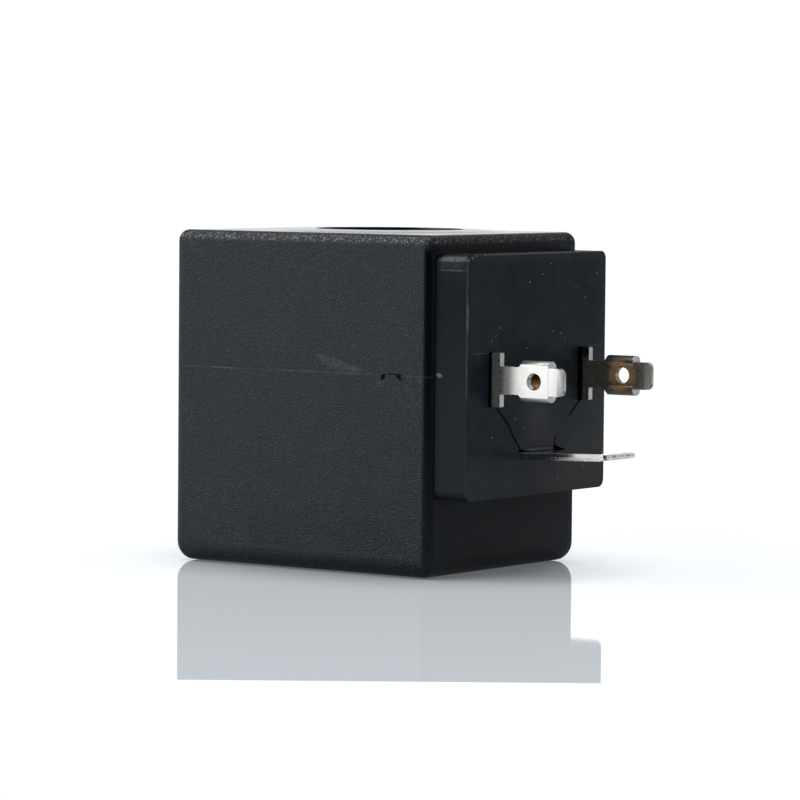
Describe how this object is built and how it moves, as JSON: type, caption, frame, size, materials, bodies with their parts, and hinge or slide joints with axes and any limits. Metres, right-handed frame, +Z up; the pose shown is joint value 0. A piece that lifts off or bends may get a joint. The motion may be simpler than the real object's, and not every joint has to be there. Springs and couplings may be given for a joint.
{
  "type": "solenoid valve coil",
  "caption": "Moulded solenoid coil block with a round through bore and a connector pad carrying upright folded tab contacts, an earth tab and a screw insert.",
  "frame": {"origin": "on the bore axis at the bottom face, which seats on the valve", "axes": "+Z up along the bore axis, +X out of the connector pad, +Y to the neutral contact's side"},
  "size_m": [0.0514, 0.0296, 0.0382],
  "materials": {
    "black_moulding": "fine-grained, dull",
    "carrier_moulding": "smooth, satin",
    "tinned_contact": "bright tin plate",
    "rivet_steel": "bright",
    "insert_brass": "turned",
    "frame_steel": "zinc plated",
    "bobbin_moulding": "smooth",
    "enamelled_copper": "enamelled",
    "insulating_tape": "polyester film",
    "sleeving": "woven glass sleeve",
    "solder": "dull tin"
  },
  "bodies": {
    "root": {"encapsulation": "black_moulding", "terminal_carrier": "carrier_moulding", "line_terminal": "tinned_contact", "neutral_terminal": "tinned_contact", "earth_terminal": "tinned_contact", "earth_rivet": "rivet_steel", "threaded_insert": "insert_brass", "yoke_frame": "frame_steel", "bobbin": "bobbin_moulding", "winding": "enamelled_copper", "cover_tape": "insulating_tape", "start_lead": "enamelled_copper", "finish_lead": "enamelled_copper", "start_sleeve": "sleeving", "finish_sleeve": "sleeving", "start_solder": "solder", "finish_solder": "solder"}
  },
  "joints": []
}
